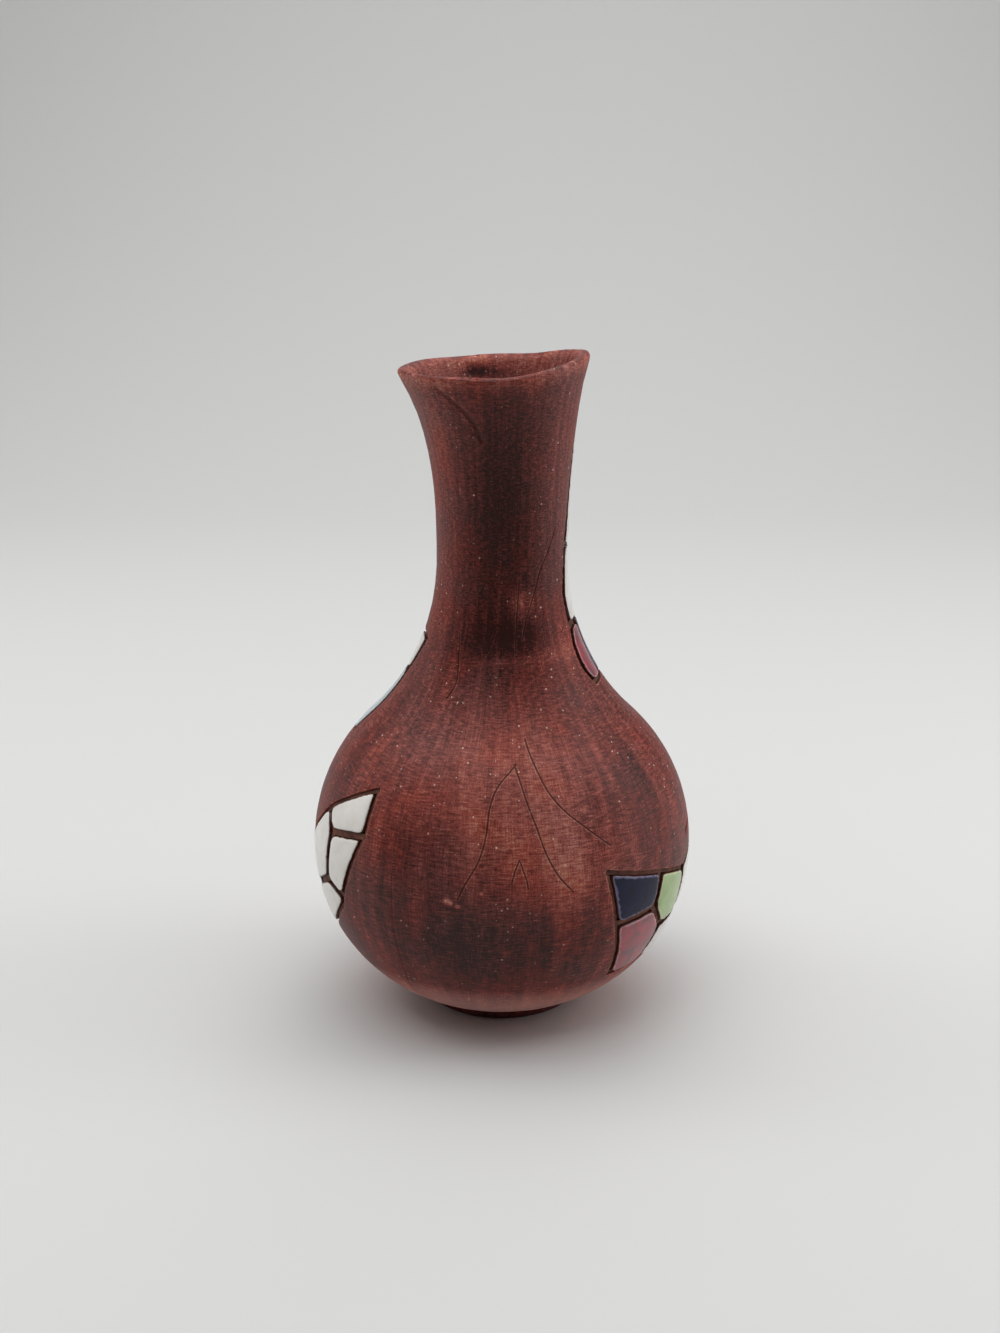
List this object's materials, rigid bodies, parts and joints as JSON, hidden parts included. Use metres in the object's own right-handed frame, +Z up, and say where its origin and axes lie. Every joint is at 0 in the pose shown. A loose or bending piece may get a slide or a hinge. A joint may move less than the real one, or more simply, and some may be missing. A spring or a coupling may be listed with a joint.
{
  "type": "bottle ewer",
  "caption": "Bulbous terracotta bottle ewer with a slender neck and a drawn-out pouring lip, set with glazed mosaic tiles round its far side; holds and pours liquid or flowers.",
  "frame": {"origin": "centre of the foot ring's tread, on the surface the ewer stands on", "axes": "+Z up along the throwing axis, the plain front faces -Y, the drawn-out lip points to -X"},
  "size_m": [0.1304, 0.1302, 0.2254],
  "materials": {
    "terracotta": "satin",
    "bedding": "matte",
    "white_glaze": "gloss",
    "navy_glaze": "gloss",
    "green_glaze": "gloss",
    "pink_glaze": "gloss",
    "pale_blue_glaze": "gloss"
  },
  "bodies": {
    "root": {"foot_ring": "terracotta", "belly": "terracotta", "neck": "terracotta", "belly_bed": "bedding", "collar_bed": "bedding", "belly_tile_01": "navy_glaze", "belly_tile_02": "green_glaze", "belly_tile_03": "pink_glaze", "belly_tile_04": "white_glaze", "belly_tile_05": "white_glaze", "belly_tile_06": "white_glaze", "belly_tile_07": "white_glaze", "belly_tile_08": "white_glaze", "belly_tile_09": "white_glaze", "belly_tile_10": "navy_glaze", "belly_tile_11": "white_glaze", "belly_tile_12": "pale_blue_glaze", "belly_tile_13": "white_glaze", "belly_tile_14": "green_glaze", "belly_tile_15": "white_glaze", "belly_tile_16": "pink_glaze", "belly_tile_17": "white_glaze", "belly_tile_18": "navy_glaze", "belly_tile_19": "white_glaze", "belly_tile_20": "pale_blue_glaze", "belly_tile_21": "white_glaze", "belly_tile_22": "pink_glaze", "belly_tile_23": "white_glaze", "belly_tile_24": "navy_glaze", "belly_tile_25": "white_glaze", "belly_tile_26": "pale_blue_glaze", "belly_tile_27": "white_glaze", "belly_tile_28": "green_glaze", "belly_tile_29": "white_glaze", "belly_tile_30": "pink_glaze", "belly_tile_31": "white_glaze", "belly_tile_32": "navy_glaze", "collar_tile_01": "pink_glaze", "collar_tile_02": "navy_glaze", "collar_tile_03": "white_glaze", "collar_tile_04": "green_glaze", "collar_tile_05": "white_glaze", "collar_tile_06": "pink_glaze", "collar_tile_07": "white_glaze", "collar_tile_08": "white_glaze", "collar_tile_09": "white_glaze", "collar_tile_10": "green_glaze", "collar_tile_11": "white_glaze", "collar_tile_12": "pink_glaze", "collar_tile_13": "pale_blue_glaze", "neck_tile_01": "white_glaze", "neck_tile_02": "white_glaze", "neck_tile_03": "pale_blue_glaze", "neck_tile_04": "white_glaze"}
  },
  "joints": []
}
